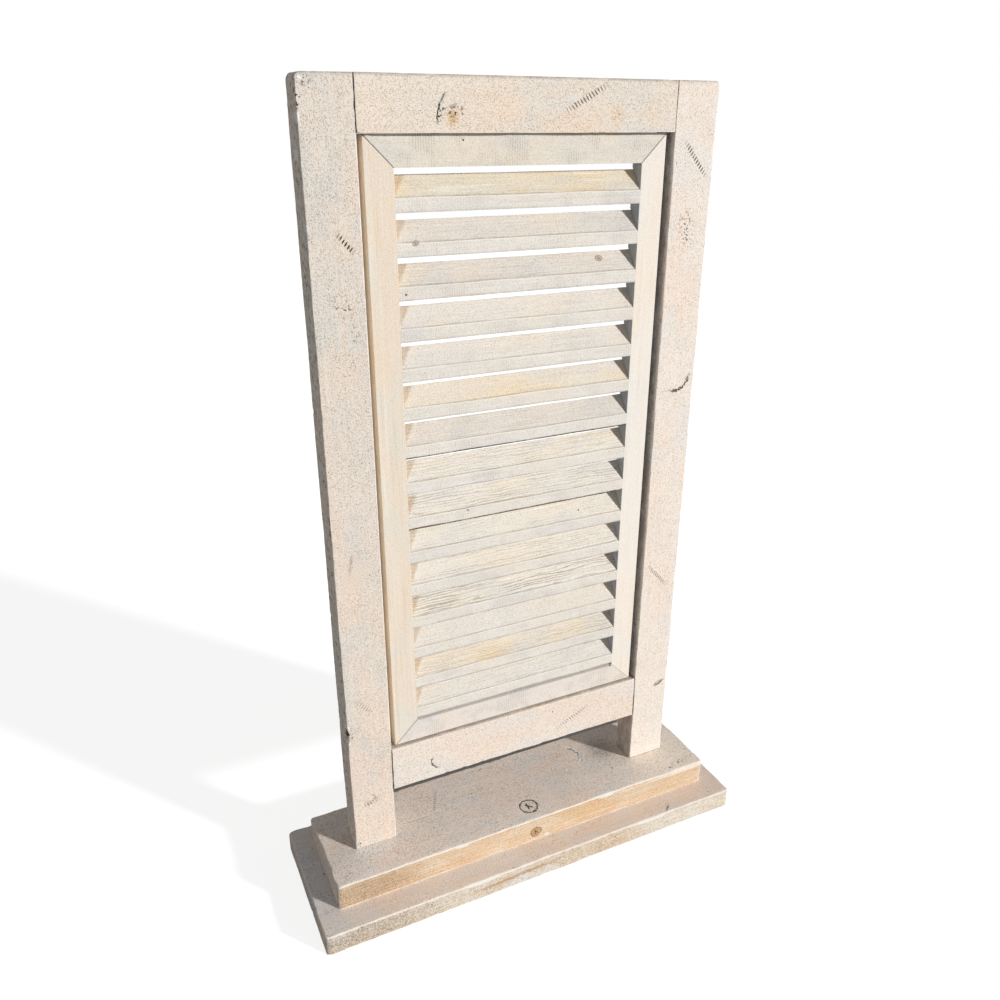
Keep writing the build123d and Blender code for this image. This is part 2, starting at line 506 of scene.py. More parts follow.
        # On sawn faces the wash lies in patches a few millimetres across.
        patchy = self.sideways.spread(0.6, 0.9, 0.0, pine.sawn).larger(
            self.forward.spread(0.6, 0.9, 0.0, pine.mottle))
        patch = self.noise(pine.patch_mm, shift=71.0, detail=3.0, drawn=1.0)
        self.lay(patch.spread(0.49, 0.60) * patchy, self.wash_thick)
        self.darken(patch.spread(0.33, 0.44, 1.0, 0.0) * patchy, self.wash_thin)
        # Wash grain is under half a millimetre; it is drawn at 0.8 mm so that it shows in the render.
        fuzz = self.noise(0.8, shift=19.0, detail=2.0, drawn=1.3)
        self.darken(fuzz.spread(0.32, 0.50, pine.fuzz, 0.0), self.grain_dark)
        self.lay(fuzz.spread(0.50, 0.68, 0.0, pine.fuzz * 0.6), self.grain_light)
        pit = self.noise(pine.pit_mm, shift=29.0, detail=1.0, drawn=1.2).spread(0.64, 0.70)
        pitted = pit * self.noise(14.0, shift=31.0, detail=3.0, drawn=1.4).spread(0.42, 0.64, 0.2, 1.0) * pine.pits
        self.darken(pitted, self.pit_tone)
        self.relief = self.relief - pitted * 0.8 + fuzz * 0.35
        ragged = self.noise(7.0, shift=41.0, detail=3.0, drawn=2.0)
        self.lay((self.felt("arris") * 0.8 + ragged).spread(0.80, 1.15, 0.0, pine.worn), pine.arris)
        # Grime in the joints, and painted shade in the recesses, under the slats' front edges, in the right gap and
        # round the posts' feet.
        self.darken(self.felt("dirt") * ragged.spread(0.3, 0.6, 0.45, 1.0), self.dirt_tone)

    def scars(self) -> None:
        """Draw every mark of this board."""
        fray = self.noise(2.4, shift=61.0, detail=2.0, drawn=1.0)
        for mark in self.pine.marks:
            if mark.kind is MarkKind.BLUSH:
                continue
            shape = MarkShape(self, mark, fray)
            if mark.kind is MarkKind.CHIP:
                self.lay(shape.disc(0.75, 1.0), mark.colour)
                continue
            if mark.kind is MarkKind.KNOT:
                self.lay(shape.disc(0.6, 1.05), mark.colour)
            dark = shape.rings() if mark.kind in (MarkKind.KNOT, MarkKind.RING) else shape.cut()
            if mark.pale:
                self.lay(dark, mark.colour)
            else:
                self.darken(dark, self.scar_tone)
            self.relief = self.relief - dark * 1.4


class MarkShape:
    """Draws one mark from its own coordinates: along it, across it and into the board."""

    pitch_mm = 3.1

    def __init__(self, coat: WashCoat, mark: Mark, fray: Value) -> None:
        """Set up the mark's own coordinates.

        Args:
            coat: the finish that the mark is in.
            mark: the mark to draw.
            fray: noise that roughens the mark's edge.
        """
        self.mark = mark
        turn = [0.0, 0.0, 0.0]
        turn[mark.facing.value[2]] = math.radians(mark.turn_deg) * (-1 if mark.facing is Facing.FRONT else 1)
        half = [mark.long_mm / 2 * MM] * 3
        half[mark.facing.value[1]] = mark.wide_mm / 2 * MM
        half[mark.facing.value[2]] = mark.deep_mm * MM
        mapped = add_node(coat.tree, "ShaderNodeMapping", {"vector_type": "TEXTURE"},
                          {"Location": Vector(mark.at_mm) * MM, "Rotation": turn, "Scale": half},
                          {"Vector": coat.place})
        parts = add_node(coat.tree, "ShaderNodeSeparateXYZ", links={0: mapped.outputs[0]}).outputs
        self.along, self.across, self.deep = (Value(coat.tree, parts[i]) for i in mark.facing.value)
        self.fray = fray - 0.5

    def inside(self, value: Value, soft: float = 0.15) -> Value:
        """One where a coordinate is within the mark, falling to nought at its end."""
        return value.size().spread(1.0 - soft, 1.0 + soft, 1.0, 0.0)

    def reach(self) -> Value:
        """Distance from the mark's middle, as a share of its half size, with a frayed edge."""
        whole = self.along * self.along + self.across * self.across
        return whole.math("SQRT") + self.fray * 0.5

    def disc(self, full: float, gone: float) -> Value:
        """A soft round patch, whole out to one share of its size and gone at the other."""
        return self.reach().spread(full, gone, self.mark.strength, 0.0) * self.inside(self.deep)

    def band(self, value: Value, middle: float, whole: float, gone: float) -> Value:
        """One near a middle value, falling to nought on both sides of it."""
        return (value - middle).size().spread(whole, gone, 1.0, 0.0)

    def rings(self) -> Value:
        """The rim, the inner rings and the star check of a knot."""
        reach = self.reach()
        rim = self.band(reach, 0.92, 0.03, 0.12)
        deep = 0.55 if self.mark.kind is MarkKind.KNOT else 0.15
        inner = (reach * 22.0).math("SINE").spread(0.2, 1.0, 0.0, deep) * reach.spread(0.8, 0.95, 1.0, 0.0)
        tilted = self.across + self.along * 0.9
        checks = self.band(tilted, 0.0, 0.05, 0.17).larger(self.band(self.along, -0.12, 0.04, 0.14))
        heart = checks * reach.spread(0.35, 0.55, 1.0, 0.0)
        return rim.larger(inner).larger(heart) * self.mark.strength * self.inside(self.deep)

    def cut(self) -> Value:
        """The dark of a crack, a seam, a crescent, a hole, specks or a row of thread prints."""
        kind = self.mark.kind
        if kind is MarkKind.HOLE:
            shape = self.reach().spread(0.5, 1.0, 1.0, 0.0)
        elif kind is MarkKind.SPECKS:
            shape = self.fray.spread(0.06, 0.12) * self.reach().spread(0.3, 1.0, 1.0, 0.0)
        elif kind is MarkKind.CRACK:
            shape = self.inside(self.across + self.fray * 4.0, 0.5) * self.along.size().spread(0.3, 1.05, 1.0, 0.0)
        elif kind is MarkKind.SEAM:
            shape = self.inside(self.across, 0.35) * self.inside(self.along, 0.02)
        elif kind is MarkKind.CRESCENT:
            shape = self.band(self.reach(), 0.85, 0.02, 0.11) * self.across.spread(0.3, 0.75)
        else:
            step = self.pitch_mm / self.mark.long_mm
            slanted = self.along + self.across * (0.25 * step)
            notch = slanted.math("PINGPONG", step).spread(0.25 * step, 0.5 * step, 1.0, 0.0)
            ends = self.along.size().spread(0.45, 1.0, 1.0, 0.35)
            broken = self.fray.spread(-0.16, -0.02, 0.25, 1.0)
            shape = notch * self.inside(self.across, 0.35) * (self.inside(self.along, 0.05) * ends * broken)
        return shape * self.mark.strength * self.inside(self.deep)


@dataclass(frozen=True)
class TurnedBeech:
    """Beech dowel as it comes from the lathe: close, pale pinkish brown with tiny flecks."""

    name: str = "turned beech"

    def build(self) -> bpy.types.Material:
        """Build the material.

        Returns:
            The finished material.
        """
        material, tree, place = start_material(self.name)
        fleck = add_node(tree, "ShaderNodeTexNoise", values={"Scale": 1 / (0.8 * MM), "Detail": 2.0},
                         links={"Vector": place}).outputs["Fac"]
        ramp = add_node(tree, "ShaderNodeValToRGB", links={"Fac": fleck})
        ramp.color_ramp.elements[0].color = linear("a97b4f")
        ramp.color_ramp.elements[1].color = linear("d3ab7c")
        bump = add_node(tree, "ShaderNodeBump", values={"Strength": 0.4, "Distance": 0.1 * MM},
                        links={"Height": fleck})
        shader = add_node(tree, "ShaderNodeBsdfPrincipled", values={"Roughness": 0.6, "IOR": 1.5},
                          links={"Base Color": ramp.outputs[0], "Normal": bump.outputs[0]})
        add_node(tree, "ShaderNodeOutputMaterial", links={"Surface": shader.outputs[0]})
        return material


@dataclass(frozen=True)
class ZincPlatedSteel:
    """Drawn steel with a thin zinc coat: a grey metal with a slightly cloudy sheen."""

    name: str
    tone: str = "b9b6ad"
    rough: float = 0.42

    def build(self) -> bpy.types.Material:
        """Build the material.

        Returns:
            The finished material.
        """
        material, tree, place = start_material(self.name)
        cloud = add_node(tree, "ShaderNodeTexNoise", values={"Scale": 1 / (2.5 * MM), "Detail": 3.0},
                         links={"Vector": place}).outputs["Fac"]
        rough = add_node(tree, "ShaderNodeMapRange", values={"To Min": self.rough - 0.1, "To Max": self.rough + 0.15},
                         links={"Value": cloud}).outputs[0]
        shader = add_node(tree, "ShaderNodeBsdfPrincipled",
                          values={"Base Color": linear(self.tone), "Metallic": 1.0},
                          links={"Roughness": rough})
        add_node(tree, "ShaderNodeOutputMaterial", links={"Surface": shader.outputs[0]})
        return material


# Shapes


def grid_lines(half: float, edge: float, step: float) -> np.ndarray:
    """Places of the mesh lines across a board, closer together at its arrises.

    Args:
        half: half of the board's size.
        edge: width of the arris.
        step: spacing of the lines between the arrises.

    Returns:
        The places, from one side to the other.
    """
    near = edge * np.array([0.0, 0.22, 0.46, 0.72, 1.0, 1.35])
    inner = half - near[-1]
    count = max(2, int(round(2 * inner / step)))
    middle = np.linspace(-inner, inner, count + 1)[1:-1]
    return np.concatenate((-half + near, middle, half - near[::-1]))


def box_skin(lines: tuple[np.ndarray, np.ndarray, np.ndarray]) -> tuple[np.ndarray, np.ndarray]:
    """Skin of a box whose three sets of mesh lines are given.

    Args:
        lines: places of the lines along the three axes.

    Returns:
        The points and the four-sided faces, all looking outward.
    """
    edge = np.zeros([len(axis) for axis in lines], bool)
    edge[0] = edge[-1] = True
    edge[:, 0] = edge[:, -1] = True
    edge[:, :, 0] = edge[:, :, -1] = True
    numbers = np.full(edge.shape, -1)
    numbers[edge] = np.arange(edge.sum())
    places = np.nonzero(edge)
    points = np.column_stack([axis[place] for axis, place in zip(lines, places)])
    sheets = []
    for axis in range(3):
        for end in (0, -1):
            sheet = np.take(numbers, end, axis=axis)
            quads = np.stack((sheet[:-1, :-1], sheet[1:, :-1], sheet[1:, 1:], sheet[:-1, 1:]), -1).reshape(-1, 4)
            sheets.append(quads[:, ::-1] if (end == 0) != (axis == 1) else quads)
    return points, np.concatenate(sheets)


def round_square(first: np.ndarray, second: np.ndarray) -> tuple[np.ndarray, np.ndarray]:
    """Map the square corner of two distances to a round one."""
    largest = np.maximum(first, second)
    length = np.hypot(first, second)
    share = np.where(length > 0, largest / np.where(length > 0, length, 1), 1)
    return first * share, second * share


def fade(distance: np.ndarray, reach_mm: float, start: float = 1.0) -> np.ndarray:
    """Let a value fall to nought with distance.

    Args:
        distance: distances in metres.
        reach_mm: the distance over which it falls by one.
        start: its value at no distance, cut off at one.

    Returns:
        A value from nought to one for each distance.
    """
    return np.clip(start - distance / (reach_mm * MM), 0, 1)


def rise(distance: np.ndarray, reach_mm: float) -> np.ndarray:
    """Let a value rise from nought to one over a distance."""
    return np.clip(distance / (reach_mm * MM), 0, 1)


@dataclass
class Board:
    """A solid timber board with worn arrises, rounded corners and an uneven surface."""

    node: str
    facing: Facing
    finish: LimewashedPine
    slot: str
    arris_mm: float = 1.1
    corners_mm: tuple[float, float, float, float] = (0.9, 0.9, 0.9, 0.9)
    step_mm: float = 1.8
    wave_mm: float = 0.20
    wear: int = 16
    seed: int = 1
    back_ease: float = 1.0
    base_ease: float = 1.0
    crown_mm: float = 804.0
    front_mm: float = -10.0
    crown_fall_mm: float = 1.8
    crown_depth_mm: float = 1.5
    # Strength of the grime along the crown and of the painted contact shade round a post's foot.
    soil_and_shade: float = 0.7
    chip_reach_mm: tuple[float, float] = (2.0, 6.0)
    chip_depth_mm: tuple[float, float] = (0.3, 0.9)
    knocks: tuple[tuple[float, float, float, float, float], ...] = ()

    def build(self) -> bpy.types.Object:
        """Build the board in the place of its solid.

        Returns:
            The dressed board.
        """
        low, high = (np.array(corner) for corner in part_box(self.node))
        low, high = self.shoulders(low, high)
        order = list(self.facing.value)
        middle, half = (low + high) / 2, (high - low) / 2
        steps = (self.step_mm, self.step_mm, self.step_mm * 1.3)
        lines = tuple(grid_lines(half[axis], self.arris_mm * MM, step * MM) for axis, step in zip(order, steps))
        skin, quads = box_skin(lines)
        shaped, arris = self.shape(skin, half[order])
        points = np.empty_like(shaped)
        points[:, order] = shaped
        points += middle
        dirt = self.dirt(points)
        points = self.weather(points, low, high, arris)
        if self.facing is Facing.FRONT:
            quads = quads[:, ::-1]
        piece = make_mesh(f"{self.node}_board", points, quads.tolist(), {"arris": arris, "dirt": dirt})
        settle(piece, self.node, self.slot, self.finish.build())
        return piece

    def shoulders(self, low: np.ndarray, high: np.ndarray) -> tuple[np.ndarray, np.ndarray]:
        """Ends of the visible board, which are those of its solid."""
        return low, high

    def dirt(self, points: np.ndarray) -> np.ndarray:
        """Dirt at each point, from nought to one, which lies along the front top arris of the frame."""
        below, behind = self.crown_mm * MM - points[:, 2], points[:, 1] - self.front_mm * MM
        return fade(below, self.crown_fall_mm) * fade(behind, self.crown_depth_mm, 1.6) * self.soil_and_shade

    def shape(self, skin: np.ndarray, half: np.ndarray) -> tuple[np.ndarray, np.ndarray]:
        """Round the arrises and the corners.

        Args:
            skin: points of the sharp board about its middle, outline axes first.
            half: its half sizes in the same order.

        Returns:
            The rounded points, and how near each is to an arris, from nought to one.
        """
        sign, size = np.sign(skin), np.abs(skin)
        gaps = half - size
        second = np.sort(gaps, axis=1)[:, 1]
        band = self.arris_mm * MM
        near_arris = np.clip(1 - second / (1.6 * band), 0, 1)
        broad, fine = Ripple(28, 1, self.seed + 5).level(skin), Ripple(8, 1, self.seed).level(skin)
        radius = band * (1 + 0.30 * broad + 0.15 * fine)
        radius = np.clip(radius, 0.35 * band, 1.7 * band)
        if self.facing is Facing.TOP:
            radius = np.where(skin[:, 1] > half[1] - 3 * band, radius * self.back_ease, radius)
        below = 2 if self.facing is Facing.TOP else 1
        radius = np.where(skin[:, below] < 0, radius * self.base_ease, radius)
        inset = np.minimum(gaps[:, 0], gaps[:, 1])
        out, up = np.maximum(radius - inset, 0), np.maximum(radius - gaps[:, 2], 0)
        new_out, new_up = round_square(out, up)
        banded = (out > 0) & (up > 0)
        inset = np.where(banded, radius - new_out, inset)
        rise = np.where(banded, radius - new_up, gaps[:, 2])
        wide = np.minimum(size[:, 0], half[0] - inset)
        tall = np.minimum(size[:, 1], half[1] - inset)
        corner = np.array(self.corners_mm)[(sign[:, 0] > 0) + 2 * (sign[:, 1] > 0)] * MM
        over_w, over_t = np.maximum(wide - (half[0] - corner), 0), np.maximum(tall - (half[1] - corner), 0)
        round_w, round_t = round_square(over_w, over_t)
        both = (over_w > 0) & (over_t > 0)
        wide = np.where(both, half[0] - corner + round_w, wide)
        tall = np.where(both, half[1] - corner + round_t, tall)
        return sign * np.column_stack((wide, tall, half[2] - rise)), near_arris

    def weather(self, points: np.ndarray, low: np.ndarray, high: np.ndarray, arris: np.ndarray) -> np.ndarray:
        """Add the unevenness, the knocks and the chipped arrises, inside the solid's box.

        Args:
            points: the rounded board.
            low: the lowest corner of its box.
            high: the highest corner of its box.
            arris: how near each point is to an arris.

        Returns:
            The weathered points.
        """
        moved = points + Ripple(70, self.wave_mm, self.seed + 11).push(points)
        moved += Ripple(7, self.wave_mm * 0.4, self.seed + 17).push(points) * (0.35 + arris[:, None])
        middle = (low + high) / 2
        rng = np.random.default_rng(self.seed)
        edge_points = points[arris > 0.85]
        chips = [(*edge_points[rng.integers(len(edge_points))], rng.uniform(*self.chip_reach_mm) * MM,
                  rng.uniform(*self.chip_depth_mm) * MM) for _ in range(self.wear)]
        chips += [tuple(value * MM for value in knock) for knock in self.knocks]
        for x, y, z, reach, depth in chips:
            centre = np.array((x, y, z))
            away = np.linalg.norm(points - centre, axis=1)
            inward = np.clip(middle, centre - 0.02, centre + 0.02) - centre
            inward /= np.linalg.norm(inward)
            fall = np.clip(1 - (away / reach) ** 2, 0, 1) ** 2
            moved += inward * (fall * depth)[:, None]
        return np.clip(moved, low, high)


@dataclass
class FrameBoard(Board):
    """A board of the outer frame, soiled where another board meets it."""

    joint_mm: float = 150.0
    soiled_mm: float = 1.1
    face_y_mm: float = -9.4

    def depth(self, points: np.ndarray, reach_mm: float) -> np.ndarray:
        """How far behind the front arris each point lies, as a share of a reach, up to one."""
        return rise(points[:, 1] - self.face_y_mm * MM, reach_mm)


@dataclass
class Post(FrameBoard):
    """An upright of the frame, with grime where the rails meet it and painted shade round its foot and on its inner
    face.
    """

    foot_mm: float = 54.0
    foot_shade_mm: float = 1.2
    rails_mm: tuple[tuple[float, float], ...] = ((119.0, 170.0), (761.0, 804.0))
    # Strength and reach of the painted shade on the inner face.
    inner_shade: float = 0.0
    inner_shade_mm: float = 0.5

    def dirt(self, points: np.ndarray) -> np.ndarray:
        """Grime along the rails' shoulders, painted shade on the inner face in the gap beside the panel, and painted
        contact shade round the foot.
        """
        off = np.abs(points[:, 0]) - self.joint_mm * MM
        beside = np.zeros(len(points), bool)
        for base, top in self.rails_mm:
            beside |= (points[:, 2] > base * MM) & (points[:, 2] < top * MM)
        side = fade(np.abs(off), self.soiled_mm) * beside
        # Painted shade on the inner face, deepening back into the gap beside the panel.
        inner = fade(off, self.inner_shade_mm) * self.depth(points, 4.0) * self.inner_shade
        # Painted contact shade just above the plinth's top.
        foot = fade(points[:, 2] - self.foot_mm * MM, self.foot_shade_mm) * self.soil_and_shade
        return np.maximum.reduce((super().dirt(points), side, inner, foot))


@dataclass
class Rail(FrameBoard):
    """A board between the two posts, drawn back a little from them where the joint has opened."""

    open_mm: float = 0.25
    seats_mm: tuple[float, float] = (170.0, 761.0)
    # A dark joint line where the panel sits, with painted shade in the recess behind the front arris.
    seat_shade_and_dirt: float = 0.55
    seat_shade_and_dirt_mm: float = 0.4

    def shoulders(self, low: np.ndarray, high: np.ndarray) -> tuple[np.ndarray, np.ndarray]:
        """Leave out the tenons, which the posts hide."""
        reach = (self.joint_mm - self.open_mm) * MM
        return np.array((-reach, low[1], low[2])), np.array((reach, high[1], high[2]))

    def dirt(self, points: np.ndarray) -> np.ndarray:
        """Grime at the two shoulders, and where the panel sits a dark joint line with painted shade in the recess
        behind the front arris.
        """
        shoulder = fade(self.joint_mm * MM - np.abs(points[:, 0]), self.soiled_mm)
        near = np.min([np.abs(points[:, 2] - seat * MM) for seat in self.seats_mm], axis=0)
        # Painted shade with the joint's grime where the panel sits.
        seat = fade(near, self.seat_shade_and_dirt_mm) * self.depth(points, 2.0) * self.seat_shade_and_dirt
        return np.maximum.reduce((super().dirt(points), shoulder, seat))


@dataclass(frozen=True)
class SlatForm:
    """How one slat differs from its neighbours."""

    tone: WashTone
    ridges_mm: float = 0.10
    lines: float = 0.3
    streaks: float = 0.4
    # Painted shade along the lower front arris, where the slat above and the slit behind darken it.
    lower_edge_shade: float = 0.4
    marks: tuple[Mark, ...] = ()


@dataclass
class Slat:
    """A fixed slat: upright front and back, sloping up to the back, with roughly sawn arrises."""

    number: int
    form: SlatForm
    finish: LimewashedPine
    face_mm: float = 11.7
    rise_mm: float = 18.0
    ease_mm: tuple[float, float] = (0.26, 0.7)
    hold_mm: float = 0.22
    step_mm: float = 2.0
    clear_mm: float = 118.8
    behind_mm: tuple[float, float] = (0.65, 0.85)

    def section(self, depth_mm: float) -> tuple[np.ndarray, list[np.ndarray]]:
        """Rounded outline of the slat.

        Args:
            depth_mm: its depth from front to back.

        Returns:
            The outline's points in depth and height, and the distance of each from the front top arris,
            from the line just behind it and from the front lower arris, in millimetres.
        """
        corners = np.array([(0.0, 0.0), (depth_mm, self.rise_mm), (depth_mm, self.rise_mm + self.face_mm),
                            (0.0, self.face_mm)])
        radii = self.ease_mm * 2
        loop = []
        for i, corner in enumerate(corners):
            before, after = corners[i - 1] - corner, corners[(i + 1) % 4] - corner
            before, after = before / np.linalg.norm(before), after / np.linalg.norm(after)
            start, end = corner + before * radii[i], corner + after * radii[i]
            loop += [(1 - t) ** 2 * start + 2 * t * (1 - t) * corner + t ** 2 * end for t in np.linspace(0, 1, 5)]
            following = corners[(i + 1) % 4] - after * radii[(i + 1) % 4]
            length = np.linalg.norm(following - end)
            count = max(2, int(length / 1.3))
            shares = np.linspace(self.hold_mm / length, 1 - self.hold_mm / length, count)
            loop += [end + (following - end) * share for share in shares]
        points = np.array(loop)
        spots = (corners[3], corners[3] + self.behind_mm, corners[0])
        return points, [np.linalg.norm(points - spot, axis=1) for spot in spots]

    def build(self) -> bpy.types.Object:
        """Build the slat in the place of its solid.

        Returns:
            The dressed slat.
        """
        node = f"slat_{self.number:02d}"
        low, high = (np.array(corner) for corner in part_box(node))
        base = (low[2] + high[2]) / 2 - (self.face_mm + self.rise_mm) / 2 * MM
        loop, distances = self.section((high[1] - low[1]) / MM)
        stations = np.linspace(low[0], high[0], int((high[0] - low[0]) / (self.step_mm * MM)) + 1)
        points = np.empty((len(stations), len(loop), 3))
        points[:, :, 0] = stations[:, None]
        points[:, :, 1] = low[1] + loop[None, :, 0] * MM
        points[:, :, 2] = base + loop[None, :, 1] * MM
        flat = points.reshape(-1, 3)
        inside = self.clear_mm * MM - np.abs(flat[:, 0])
        free = rise(inside, 5.0)[:, None]
        rough = Ripple(60, 0.16, 100 + self.number).push(flat) + Ripple(4, 0.10, 200 + self.number).push(flat)
        ridges = Ripple(3.0, self.form.ridges_mm, 300 + self.number, (0.05, 1.0, 1.0)).push(flat)
        moved = np.clip(flat + (rough + ridges) * free, low, high)
        ring = len(loop)
        starts = np.arange(len(stations) - 1)[:, None] * ring
        here, following = np.arange(ring), (np.arange(ring) + 1) % ring
        quads = np.stack((starts + here, starts + following, starts + following + ring, starts + here + ring), -1)
        faces = quads.reshape(-1, 4)[:, ::-1].tolist()
        faces.append(list(range(ring)))
        faces.append(list(range(len(flat) - 1, len(flat) - ring - 1, -1)))
        front, behind, lower = (np.tile(distance, len(stations)) for distance in distances)
        # Painted shade beside the left stile: a darker triangle at the slat's left end, widening towards the back,
        # where the wash also lies thinner.
        shaded = (flat[:, 1] - low[1]) * 1.05 - (flat[:, 0] + self.clear_mm * MM)
        piece = make_mesh(f"{node}_board", moved, faces, {
            "arris": np.clip(1.15 - front / 0.9, 0, 1),
            # A dark line just behind the front top arris, and painted shade along the lower front arris.
            "dirt": np.maximum(np.clip(1 - behind / 0.7, 0, 1) * 0.6,
                               np.clip(1.25 - lower / 1.2, 0, 1) * self.form.lower_edge_shade),
            # Painted shade, with thin wash, in the triangle at the left end.
            "stain": rise(shaded, 2.5) * (inside > 0) * (flat[:, 0] < 0),
        })
        settle(piece, node, "slat_timber", self.finish.build())
        return piece


@dataclass
class EasedMember:
    """A member of the mitred panel: its solid with its sharp edges taken off, but not at the housings."""

    node: str
    finish: LimewashedPine
    ease_mm: float = 0.35
    outer_ease_mm: float = 2.4
    housings_mm: tuple[float, float] = (118.9, 128.0)
    film_mm: tuple[float, float, float, float] = (119.2, 128.4, 196.0, 734.8)
    film_thick_mm: float = 0.03

    def build(self) -> bpy.types.Object:
        """Build the member from its solid.

        Returns:
            The dressed member.
        """
        work = bmesh.new()
        work.from_mesh(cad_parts[self.node].data)
        bmesh.ops.remove_doubles(work, verts=work.verts, dist=1e-6)
        bmesh.ops.dissolve_limit(work, angle_limit=math.radians(0.5), verts=work.verts, edges=work.edges)
        if "stile" in self.node:
            reach, face_y = max(abs(vert.co.x) for vert in work.verts), min(vert.co.y for vert in work.verts)
            outer = [edge for edge in work.edges
                     if all(abs(vert.co.x) > reach - 1e-5 and vert.co.y < face_y + 1e-5 for vert in edge.verts)]
            bmesh.ops.bevel(work, geom=outer, offset=self.outer_ease_mm * MM, segments=5, profile=0.5,
                            affect="EDGES", clamp_overlap=True)
        near, far = (side * MM for side in self.housings_mm)
        sharp = [edge for edge in work.edges if edge.calc_face_angle(0) > math.radians(25)
                 and not ("stile" in self.node and any(near < abs(vert.co.x) < far for vert in edge.verts))]
        bmesh.ops.bevel(work, geom=sharp, offset=self.ease_mm * MM, segments=2, profile=0.5,
                        affect="EDGES", clamp_overlap=True)
        if "stile" in self.node:
            self.film(work)
        bmesh.ops.triangulate(work, faces=work.faces)
        mesh = bpy.data.meshes.new(f"{self.node}_eased")
        work.to_mesh(mesh)
        work.free()
        piece = bpy.data.objects.new(f"{self.node}_eased", mesh)
        bpy.context.scene.collection.objects.link(piece)
        settle(piece, self.node, "panel_timber", self.finish.build())
        return piece

    def film(self, work: bmesh.types.BMesh) -> None:
        """Lay the film of wash that bridges the joints round the slats' ends, a thin closed sheet.

        Args:
            work: the stile being built.
        """
        face_y = min(vert.co.y for vert in work.verts)
        side = math.copysign(1.0, sum(vert.co.x for vert in work.verts))
        inner, outer, base, top = (value * MM for value in self.film_mm)
        corners = [(side * x, z) for x, z in ((inner, base), (outer, base), (outer, top), (inner, top))]
        front, back = ([work.verts.new((x, face_y - lift * MM, z)) for x, z in corners]
                       for lift in (self.film_thick_mm, -self.film_thick_mm))
        sheet = [work.faces.new(front), work.faces.new(back[::-1])]
        sheet += [work.faces.new((front[i], back[i], back[(i + 1) % 4], front[(i + 1) % 4])) for i in range(4)]
        bmesh.ops.recalc_face_normals(work, faces=sheet)


# Sub-assemblies


